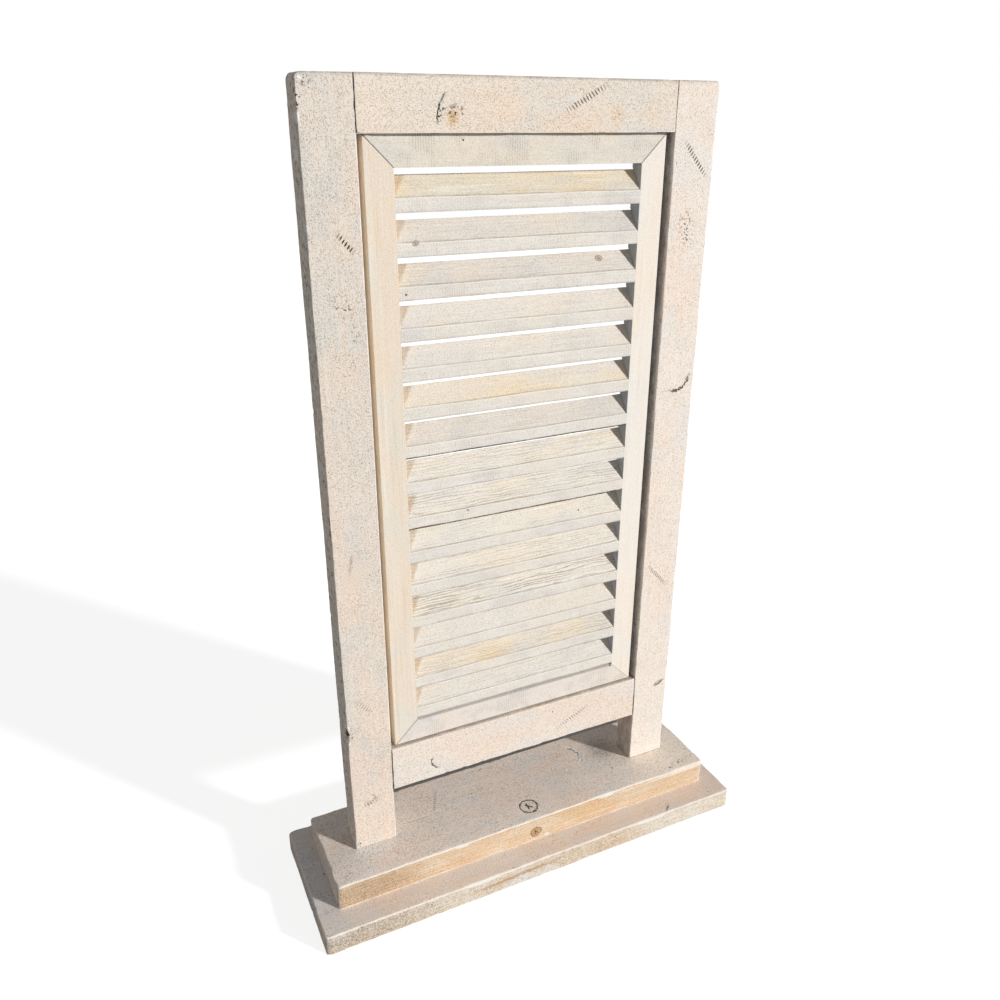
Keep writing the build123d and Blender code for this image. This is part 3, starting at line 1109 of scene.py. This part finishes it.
@dataclass
class OuterFrame:
    """Two posts and two rails of thick board, pitted and dented."""

    left: WashTone = WashTone("e7dccf", "eddbca", "ddd8d0")
    right: WashTone = WashTone("f7ebdf", "f8e6d6", "f1eae2")
    bottom: WashTone = WashTone("f1e5d9", "f3e1d1", "eae3db")
    rail: WashTone = WashTone("eee2d3", "f1ddc7", "e7e0d6")
    arris: str = "f3eadf"

    def lay(self, kind: type[FrameBoard], node: str, number: int, tone: WashTone, grain: Grain,
            marks: tuple[Mark, ...], sawn: float = 0.6, **form: object) -> None:
        """Build one board of the frame.

        Args:
            kind: the sort of board.
            node: the solid that it stands for.
            number: its place in the frame, which sets its seeds.
            tone: its colours.
            grain: the way that its grain runs.
            marks: the marks on it.
            sawn: how patchy the wash is on its sides.
            form: what is its own in its shape, its grime and its painted shade.
        """
        finish = LimewashedPine(f"limewashed pine {node.replace('_', ' ')}", grain, tone, tone, self.arris,
                                pits=0.95, streaks=0.16, sawn=sawn, fuzz=0.72, worn=0.5, seed=float(number),
                                marks=marks)
        kind(node, Facing.FRONT, finish, "frame_timber", seed=20 + number, **form).build()

    def left_post(self) -> None:
        """Build the left post with its thread prints, specks and chipped outer arris."""
        marks = (
            Mark(MarkKind.THREAD, (-164.0, -10.0, 678.6), 22.0, 4.0, -49.0, 1.0),
            Mark(MarkKind.THREAD, (-177.3, -10.0, 233.7), 28.0, 5.0, -49.0, 0.35),
            Mark(MarkKind.THREAD, (-176.0, -10.0, 111.0), 20.0, 5.0, 15.0, 0.5),
            Mark(MarkKind.CRACK, (-179.3, -10.0, 392.0), 24.0, 2.4, 80.0, 0.3),
            Mark(MarkKind.SPECKS, (-170.0, -10.0, 628.0), 34.0, 22.0, -60.0, 0.75),
            Mark(MarkKind.SPECKS, (-163.0, -10.0, 606.0), 26.0, 16.0, -60.0, 0.6),
            Mark(MarkKind.SPECKS, (-176.0, -10.0, 118.0), 26.0, 30.0, 0.0, 0.5),
            Mark(MarkKind.CHIP, (-195.0, 3.4, 745.5), 5.0, 9.0, 0.0, 1.0, colour="fffaf2"),
            Mark(MarkKind.CHIP, (-195.0, -9.0, 204.0), 5.0, 8.0, 0.0, 0.9, colour="4c4036"),
            Mark(MarkKind.CHIP, (-193.5, -9.0, 211.0), 4.0, 7.0, 0.0, 1.0, colour="fffaf2"),
            Mark(MarkKind.CHIP, (-193.5, -9.0, 193.0), 4.0, 5.0, 0.0, 1.0, colour="fffaf2"),
            Mark(MarkKind.CHIP, (-191.0, -9.5, 799.5), 4.5, 1.8, -40.0, 0.9, colour="fffaf2"),
            Mark(MarkKind.SPECKS, (-194.0, -9.0, 786.0), 30.0, 7.0, 90.0, 1.0),
            Mark(MarkKind.CHIP, (-194.6, -9.6, 772.0), 3.0, 9.0, 0.0, 0.9, colour="fffaf2"),
            Mark(MarkKind.CHIP, (-194.6, -9.6, 692.0), 3.0, 7.0, 0.0, 0.9, colour="fffaf2"),
            Mark(MarkKind.SPECKS, (-192.5, -9.0, 200.0), 34.0, 9.0, 90.0, 1.0),
            Mark(MarkKind.SPECKS, (-190.5, -9.0, 60.0), 14.0, 9.0, 90.0, 1.0),
            Mark(MarkKind.SPECKS, (-188.0, -10.0, 798.0), 14.0, 14.0, 0.0, 0.7),
        )
        self.lay(Post, "left_post", 1, self.left, Grain.UPRIGHT, marks, corners_mm=(0.9, 0.9, 4.5, 0.9),
                 knocks=((-195.0, -10.0, 205.0, 12.0, 1.6), (-195.0, -10.0, 196.0, 6.0, 1.4)))

    def right_post(self) -> None:
        """Build the right post with its thread prints, crescent and gouge."""
        marks = (
            Mark(MarkKind.THREAD, (174.6, -10.0, 738.0), 42.0, 4.2, -50.0, 0.9),
            Mark(MarkKind.THREAD, (169.5, -10.0, 302.0), 41.0, 4.0, -48.0, 0.7),
            Mark(MarkKind.CRESCENT, (172.0, -10.0, 532.0), 38.0, 38.0, -147.0, 0.95),
            Mark(MarkKind.CHIP, (183.3, -10.0, 154.6), 15.0, 6.4, 24.0, 0.8, colour="9a8a77"),
            Mark(MarkKind.CRESCENT, (185.0, -10.0, 157.4), 15.0, 7.0, 204.0, 1.0),
            Mark(MarkKind.CHIP, (183.0, -10.0, 155.6), 5.0, 1.8, 24.0, 0.7),
            Mark(MarkKind.SPECKS, (171.0, -10.0, 676.0), 56.0, 26.0, -80.0, 0.8),
        )
        # The right post's inner face gets painted shade in the gap beside the panel.
        self.lay(Post, "right_post", 2, self.right, Grain.UPRIGHT, marks, 0.3,
                 corners_mm=(0.9, 0.9, 0.9, 4.5), inner_shade=0.45)

    def rails(self) -> None:
        """Build the top rail with its crack and warm stain, and the bottom rail with its crescent."""
        top_marks = (
            Mark(MarkKind.THREAD, (56.0, -10.0, 788.4), 48.0, 4.6, 28.0, 0.8),
            Mark(MarkKind.BLUSH, (-69.0, -10.0, 772.5), 16.0, 20.0, -10.0, 0.75, colour="dcae76"),
            Mark(MarkKind.BLUSH, (87.5, -10.0, 775.0), 20.0, 26.0, 0.0, 0.35, colour="e3bb84"),
            Mark(MarkKind.CRESCENT, (-74.5, -10.0, 777.8), 31.0, 17.0, 72.0, 0.95),
            Mark(MarkKind.SPECKS, (-80.0, -10.0, 777.0), 26.0, 13.0, 72.0, 1.0),
            Mark(MarkKind.CRESCENT, (-76.6, -10.0, 777.2), 26.0, 15.0, 72.0, 0.6, colour="f7f0e4", pale=True),
            Mark(MarkKind.SPECKS, (-66.0, -10.0, 776.0), 24.0, 20.0, 0.0, 0.9),
        )
        bottom_marks = (
            Mark(MarkKind.THREAD, (66.1, -10.0, 142.8), 46.0, 4.0, 26.0, 0.55),
            Mark(MarkKind.CRESCENT, (-96.5, -10.0, 139.5), 23.0, 23.0, 110.0, 0.9),
            Mark(MarkKind.HOLE, (40.1, -10.0, 158.0), 2.4, 2.4, 0.0, 0.8),
        )
        self.lay(Rail, "top_rail", 3, self.rail, Grain.ACROSS, top_marks, arris_mm=0.7, wave_mm=0.14,
                 base_ease=0.5)
        self.lay(Rail, "bottom_rail", 4, self.bottom, Grain.ACROSS, bottom_marks, arris_mm=0.7, wave_mm=0.14)

    def build(self) -> None:
        """Build the posts and the rails."""
        self.left_post()
        self.right_post()
        self.rails()


@dataclass
class LouvrePanel:
    """Mitred panel: two stiles, two rails and fifteen slats."""

    left: WashTone = WashTone("eddfcd", "eedcc6", "e7e0d2")
    right: WashTone = WashTone("f7eee3", "f7eada", "f3ede3")
    # The stiles' side tones are painted light and shade: near white on the left stile's sides, whose outer side lies
    # in the shaded gap, and cool grey on the right stile's sides, which lie in shade.
    left_side_painted_light: WashTone = WashTone("fdecd2", "fbe3bf", "f6ead8")
    right_side_painted_shade: WashTone = WashTone("bfc3c8", "c2c2c0", "b4bac2")
    top: WashTone = WashTone("e5ded2", "ebe0cd", "ddd8d0")
    bottom: WashTone = WashTone("ebe2d8", "eee3d4", "e4ded7")
    slat_front: WashTone = WashTone("ebe5dc", "ede5d8", "e3ded7")
    mitres_mm: tuple[tuple[float, float, float, float], ...] = (
        (-131.6, 747.9, -45.0, 0.6), (131.6, 747.9, 45.0, 0.6),
        (-131.6, 182.8, 45.0, 0.5), (131.6, 182.8, -45.0, 0.25),
    )

    def seams(self) -> tuple[Mark, ...]:
        """Dark lines of the four closed mitres."""
        return tuple(Mark(MarkKind.SEAM, (x, -5.0, z), 35.5, 0.85, turn, strength)
                     for x, z, turn, strength in self.mitres_mm)

    def sills(self) -> tuple[Mark, ...]:
        """Dark lines where the panel's bottom rail meets the frame and the last slat: the joints, darkened further
        with painted shade.
        """
        return (Mark(MarkKind.SEAM, (0.0, -5.0, 170.6), 288.0, 1.5, 0.0, 0.6),
                Mark(MarkKind.SEAM, (0.0, -5.0, 194.9), 236.0, 0.9, 0.0, 0.4),
                Mark(MarkKind.HOLE, (116.8, -5.0, 194.6), 3.6, 2.0, 0.0, 1.0))

    def forms(self) -> list[SlatForm]:
        """Forms of the slats from the top down."""
        yellow = WashTone("e1d8c6", "e8d4b0", "dbd5ca")
        grey = WashTone("e2dad0", "e7dccb", "dad5cf")
        plain = WashTone("e8e1d7", "ebe1d3", "e0dbd5")
        cream = WashTone("ede6da", "f0e5d2", "e4dfd6")
        honey = WashTone("ebe0ce", "eedcbf", "e3dcd1")
        knots = {
            2: (Mark(MarkKind.KNOT, (-102.5, -4.0, 675.5), 6.0, 4.4, 20.0, 0.55, colour="d2b48e"),),
            3: (Mark(MarkKind.KNOT, (83.0, 4.0, 652.0), 8.0, 5.0, 0.0, 0.6, colour="cdb08a"),
                Mark(MarkKind.HOLE, (-112.8, -5.0, 633.7), 3.0, 2.4, 0.0, 0.8)),
            8: (Mark(MarkKind.HOLE, (37.8, -5.0, 446.8), 4.0, 2.0, 0.0, 0.8),),
            9: (Mark(MarkKind.CRACK, (-58.3, -3.0, 423.0), 4.0, 1.0, -50.0, 0.7),
                Mark(MarkKind.BLUSH, (-115.0, 4.0, 436.0), 9.0, 16.0, 0.0, 0.6, colour="d9a98c")),
            10: (Mark(MarkKind.HOLE, (70.1, 1.0, 396.7), 2.4, 2.0, 0.0, 0.7),),
        }
        # The last column is the painted shade along the lower front arris; slats 7 and 9 have the most, where the
        # slits under them are dark.
        rows = [(yellow, 0.06, 0.08, 0.5, 0.3), (grey, 0.07, 0.10, 0.4, 0.3), (grey, 0.10, 0.16, 0.4, 0.4),
                (plain, 0.08, 0.10, 0.35, 0.3), (plain, 0.08, 0.10, 0.35, 0.3), (honey, 0.06, 0.10, 0.35, 0.4),
                (grey, 0.10, 0.16, 0.4, 1.8), (cream, 0.12, 0.30, 0.35, 0.5), (cream, 0.16, 0.42, 0.35, 2.0),
                (cream, 0.08, 0.20, 0.35, 0.45), (cream, 0.12, 0.36, 0.35, 0.55), (cream, 0.20, 0.60, 0.35, 0.55),
                (plain, 0.05, 0.10, 0.3, 0.5), (honey, 0.10, 0.30, 0.4, 0.55), (plain, 0.12, 0.22, 0.35, 0.5)]
        return [SlatForm(tone, ridges, lines, streaks, lower_edge_shade, knots.get(number, ()))
                for number, (tone, ridges, lines, streaks, lower_edge_shade) in enumerate(rows, start=1)]

    def build(self) -> None:
        """Build the members and the slats."""
        # Each stile's side tone goes in as its top tone, so the left stile's sides show painted light and the right
        # stile's sides painted shade.
        stiles = {"left_stile": (self.left, self.left_side_painted_light), "right_stile": (self.right, self.right_side_painted_shade)}
        for seed, (node, (tone, side)) in enumerate(stiles.items()):
            EasedMember(node, LimewashedPine(f"limewashed pine {node}", Grain.UPRIGHT, tone, side, pits=0.15,
                                             streaks=0.35, streak_mm=3.4, sawn=0.0, fuzz=0.3, worn=0.0,
                                             seed=11.0 + seed, marks=self.seams())).build()
        hole = (Mark(MarkKind.HOLE, (-58.0, -5.0, 755.6), 2.2, 2.2, 0.0, 0.9),)
        ends = {"panel_top_rail": (self.top, self.seams() + hole),
                "panel_bottom_rail": (self.bottom, self.seams() + self.sills())}
        for seed, (node, (tone, marks)) in enumerate(ends.items()):
            EasedMember(node, LimewashedPine(f"limewashed pine {node}", Grain.ACROSS, tone, tone, pits=0.3,
                                             streaks=0.2, saw=0.3, fuzz=0.45, worn=0.0,
                                             seed=14.0 + seed, marks=marks)).build()
        for number, form in enumerate(self.forms(), start=1):
            finish = LimewashedPine(f"limewashed pine slat {number}", Grain.ACROSS, self.slat_front, form.tone,
                                    pits=0.35, streaks=form.streaks, lines=form.lines, lines_mm=2.2, saw=0.16,
                                    fuzz=0.55, worn=0.75, seed=20.0 + number, marks=form.marks)
            Slat(number, form, finish).build()


@dataclass
class Plinth:
    """Two stepped boards under the frame, thinly washed and rubbed at the arrises."""

    top: WashTone = WashTone("f6e8dc", "f5e2d2", "ece5df")
    lower_top: WashTone = WashTone("f3e1d2", "f2dbc7", "ece1d8")
    upper_front: WashTone = WashTone("e6c6a0", "e2ba8a", "ead3b4")
    lower_front: WashTone = WashTone("e4d6c2", "dabf9e", "e6dfd6")
    arris: str = "f6ecdf"

    def finish(self, name: str, front: WashTone, top: WashTone, mottle: float, seed: float,
               marks: tuple[Mark, ...]) -> LimewashedPine:
        """Finish of one plinth board."""
        return LimewashedPine(f"rubbed pine {name}", Grain.ACROSS, front, top, self.arris, pits=0.8,
                              pit_mm=1.4, streaks=0.38, streak_mm=3.4, lines=0.3, lines_mm=4.2,
                              lines_front=0.7, lines_top=0.15, sawn=0.5, mottle=mottle, patch_mm=2.2,
                              fuzz=0.95, worn=0.9, seed=seed, marks=marks)

    def build(self) -> None:
        """Build the two boards."""
        upper_marks = (
            Mark(MarkKind.RING, (1.2, -30.0, 54.0), 22.0, 22.0, 0.0, 0.95, Facing.TOP),
            Mark(MarkKind.KNOT, (-0.4, -52.0, 35.8), 14.0, 13.0, 0.0, 0.75, colour="d09c66"),
            Mark(MarkKind.CRESCENT, (80.0, 26.0, 54.0), 44.0, 44.0, -83.0, 1.0, Facing.TOP, colour="fffbf4",
                 pale=True),
            Mark(MarkKind.CRESCENT, (82.0, 26.0, 54.0), 35.0, 35.0, -83.0, 0.6, Facing.TOP),
            Mark(MarkKind.HOLE, (121.5, -15.9, 54.0), 2.2, 3.0, 0.0, 0.8, Facing.TOP),
            Mark(MarkKind.THREAD, (-93.0, 22.5, 54.0), 38.0, 3.0, 66.0, 0.6, Facing.TOP),
            Mark(MarkKind.SPECKS, (198.0, -42.0, 54.0), 60.0, 12.0, 12.0, 0.8, Facing.TOP),
            Mark(MarkKind.CHIP, (92.0, -52.0, 53.0), 26.0, 6.0, 0.0, 0.85, deep_mm=2.4),
            Mark(MarkKind.CHIP, (-89.5, -52.0, 53.0), 20.0, 6.0, 0.0, 0.85, deep_mm=2.4),
            Mark(MarkKind.CHIP, (13.9, -52.0, 27.0), 8.0, 4.0, 0.0, 0.7),
            Mark(MarkKind.BLUSH, (215.0, -20.0, 54.0), 260.0, 260.0, 0.0, 1.0, Facing.TOP, colour="fff2e2"),
            Mark(MarkKind.BLUSH, (-200.0, -52.0, 36.0), 190.0, 120.0, 0.0, 0.8, colour="b8966e"),
            # Painted shadow: a dark patch on the top beside the right post's foot, where its shadow falls.
            Mark(MarkKind.BLUSH, (128.0, 20.0, 54.0), 64.0, 56.0, 0.0, 0.6, Facing.TOP, colour="8c8078"),
            Mark(MarkKind.CRACK, (-119.8, 5.4, 54.0), 34.0, 2.0, -2.0, 0.5, Facing.TOP, pale=True),
            Mark(MarkKind.CRACK, (-197.0, -1.0, 54.0), 18.0, 3.0, 62.0, 0.6, Facing.TOP, pale=True),
            Mark(MarkKind.SPECKS, (-212.0, -30.0, 54.0), 26.0, 12.0, 78.0, 0.8, Facing.TOP, pale=True),
        )
        lower_marks = (
            Mark(MarkKind.CRACK, (163.5, -74.0, 24.0), 13.0, 1.8, 42.0, 0.7, Facing.TOP),
            Mark(MarkKind.CHIP, (136.0, -80.0, 22.5), 46.0, 7.0, 0.0, 0.8, deep_mm=2.4),
            Mark(MarkKind.CHIP, (-78.0, -80.0, 23.0), 50.0, 7.0, 0.0, 0.8, deep_mm=2.4),
            Mark(MarkKind.CRACK, (-40.0, -80.0, 13.0), 130.0, 3.4, 2.0, 0.65, colour="b8834f", pale=True),
            Mark(MarkKind.BLUSH, (-210.0, -80.0, 12.0), 230.0, 90.0, 0.0, 0.75, colour="b3a089"),
            Mark(MarkKind.BLUSH, (215.0, -80.0, 12.0), 260.0, 90.0, 0.0, 0.7, colour="f3e8d8"),
            # Painted shade: a cool grey tint on the lower board's top at the left end, where the upper board's shadow
            # lies.
            Mark(MarkKind.BLUSH, (-245.0, 10.0, 24.0), 100.0, 260.0, 0.0, 0.85, Facing.TOP, colour="e9ebee"),
        )
        shared = {"arris_mm": 2.0, "corners_mm": (4.0, 4.0, 4.0, 4.0), "wave_mm": 0.15, "base_ease": 0.45}
        upper = self.finish("upper plinth", self.upper_front, self.top, 0.12, 41.0, upper_marks)
        lower = self.finish("lower plinth", self.lower_front, self.lower_top, 0.34, 43.0, lower_marks)
        Board("upper_plinth", Facing.TOP, upper, "plinth_timber", step_mm=2.4, wear=40, seed=31, back_ease=0.6,
              **shared).build()
        Board("lower_plinth", Facing.TOP, lower, "plinth_timber", step_mm=2.6, wear=50, seed=32, **shared).build()


@dataclass
class Fixings:
    """Dowels, nails and screws, as their solids stand."""

    def build(self) -> None:
        """Give each group of fixings its finish."""
        finishes = {
            "panel_dowels": TurnedBeech().build(),
            "mitre_nails": ZincPlatedSteel("rolled steel strip", "a3a19c", 0.5).build(),
            "post_screws": ZincPlatedSteel("zinc plated screw steel").build(),
        }
        finishes["plinth_screws"] = finishes["post_screws"]
        for node, finish in finishes.items():
            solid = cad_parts[node]
            solid.data.materials.clear()
            solid.data.materials.append(finish)
            log.info("%s keeps its solid, %s", node, finish.name)


@dataclass
class Studio:
    """Pale floor, one soft lamp, an even sky and the camera at the photograph's angle."""

    camera_m: tuple[float, float, float] = (-0.36838, -0.72524, 0.76923)
    heading_deg: float = 25.5775
    pitch_deg: float = -23.1687
    roll_deg: float = 0.1195
    lens_mm: float = 31.79
    lamp_heading_deg: float = 38.0
    lamp_height_deg: float = 20.5
    lamp_strength: float = 3.2
    sky_strength: float = 0.27
    floor_lift: float = 0.80
    # Box close behind the plinth where the floor's glow is taken away, painting a deep shadow.
    behind_mm: tuple[tuple[float, float], tuple[float, float]] = ((-130.0, 245.0), (66.0, 190.0))
    soft_mm: float = 14.0

    def build(self) -> None:
        """Build the floor, the light and the camera."""
        self.floor()
        self.light()
        self.camera()

    def floor(self) -> None:
        """Lay the pale floor, which keeps the object's shadow, with a painted deeper shadow close behind the plinth.
        """
        bpy.ops.mesh.primitive_plane_add(size=12.0, location=(0.0, 0.0, 0.0))
        floor = bpy.context.object
        floor.name = "floor"
        material, tree, place = start_material("pale studio paper")
        rays = add_node(tree, "ShaderNodeLightPath").outputs
        sides = add_node(tree, "ShaderNodeSeparateXYZ", links={0: place}).outputs
        near = None
        # The glow is taken away in a soft-edged box close behind the plinth, which paints the floor darker there as
        # deep shadow.
        for side, (start, end) in zip(sides, self.behind_mm):
            for edge, way in ((start, 1), (end, -1)):
                step = Value(tree, side).spread((edge - self.soft_mm * way) * MM, (edge + self.soft_mm * way) * MM)
                near = step if near is None else near * step
        lift = add_node(tree, "ShaderNodeMapRange", values={"To Min": self.floor_lift, "To Max": 0.0},
                        links={"Value": near.socket}).outputs[0]
        paper = add_node(tree, "ShaderNodeBsdfDiffuse", values={"Color": linear("c0bfbd")})
        glow = add_node(tree, "ShaderNodeEmission", values={"Color": WHITE}, links={"Strength": lift})
        seen = add_node(tree, "ShaderNodeAddShader", links={0: paper.outputs[0], 1: glow.outputs[0]})
        mix = add_node(tree, "ShaderNodeMixShader", links={0: rays["Is Camera Ray"], 1: paper.outputs[0],
                                                            2: seen.outputs[0]})
        add_node(tree, "ShaderNodeOutputMaterial", links={"Surface": mix.outputs[0]})
        floor.data.materials.append(material)

    def light(self) -> None:
        """Hang a large lamp at the front right and an even pale sky."""
        heading, height = math.radians(self.lamp_heading_deg), math.radians(self.lamp_height_deg)
        towards = Vector((math.sin(heading) * math.cos(height), -math.cos(heading) * math.cos(height),
                          math.sin(height)))
        lamp_data = bpy.data.lights.new("key lamp", "SUN")
        lamp_data.energy = self.lamp_strength
        lamp_data.angle = math.radians(4.0)
        lamp = bpy.data.objects.new("key lamp", lamp_data)
        lamp.rotation_euler = towards.to_track_quat("Z", "Y").to_euler()
        bpy.context.scene.collection.objects.link(lamp)
        world = bpy.data.worlds.new("studio")
        bpy.context.scene.world = world
        world.use_nodes = True
        tree = world.node_tree
        tree.nodes.clear()
        rays = add_node(tree, "ShaderNodeLightPath").outputs
        sky = add_node(tree, "ShaderNodeBackground", values={"Color": linear("e9eaec"),
                                                             "Strength": self.sky_strength})
        white = add_node(tree, "ShaderNodeBackground", values={"Color": WHITE, "Strength": 1.0})
        seen = Value(tree, rays["Is Camera Ray"]).larger(Value(tree, rays["Is Glossy Ray"]))
        mix = add_node(tree, "ShaderNodeMixShader", links={0: seen.socket, 1: sky.outputs[0], 2: white.outputs[0]})
        add_node(tree, "ShaderNodeOutputWorld", links={"Surface": mix.outputs[0]})

    def camera(self) -> None:
        """Place the camera where the photograph was taken from."""
        heading, pitch, roll = (math.radians(angle) for angle in (self.heading_deg, self.pitch_deg, self.roll_deg))
        forward = Vector((math.sin(heading) * math.cos(pitch), math.cos(heading) * math.cos(pitch), math.sin(pitch)))
        level = forward.cross(Vector((0, 0, 1))).normalized()
        upright = level.cross(forward)
        right = math.cos(roll) * level + math.sin(roll) * upright
        up = math.cos(roll) * upright - math.sin(roll) * level
        turned = Matrix((right, up, -forward)).transposed().to_4x4()
        data = bpy.data.cameras.new("camera")
        data.lens = self.lens_mm
        data.sensor_width = 36.0
        camera = bpy.data.objects.new("camera", data)
        camera.matrix_world = Matrix.Translation(self.camera_m) @ turned
        bpy.context.scene.collection.objects.link(camera)
        bpy.context.scene.camera = camera
        bpy.context.scene.view_settings.view_transform = "Standard"


def main() -> None:
    """Build every sub-assembly in order."""
    logging.basicConfig(level=logging.INFO, format="%(name)s: %(message)s")
    Studio().build()
    Plinth().build()
    OuterFrame().build()
    LouvrePanel().build()
    Fixings().build()
    bpy.context.view_layer.update()


if __name__ == "__main__":
    main()
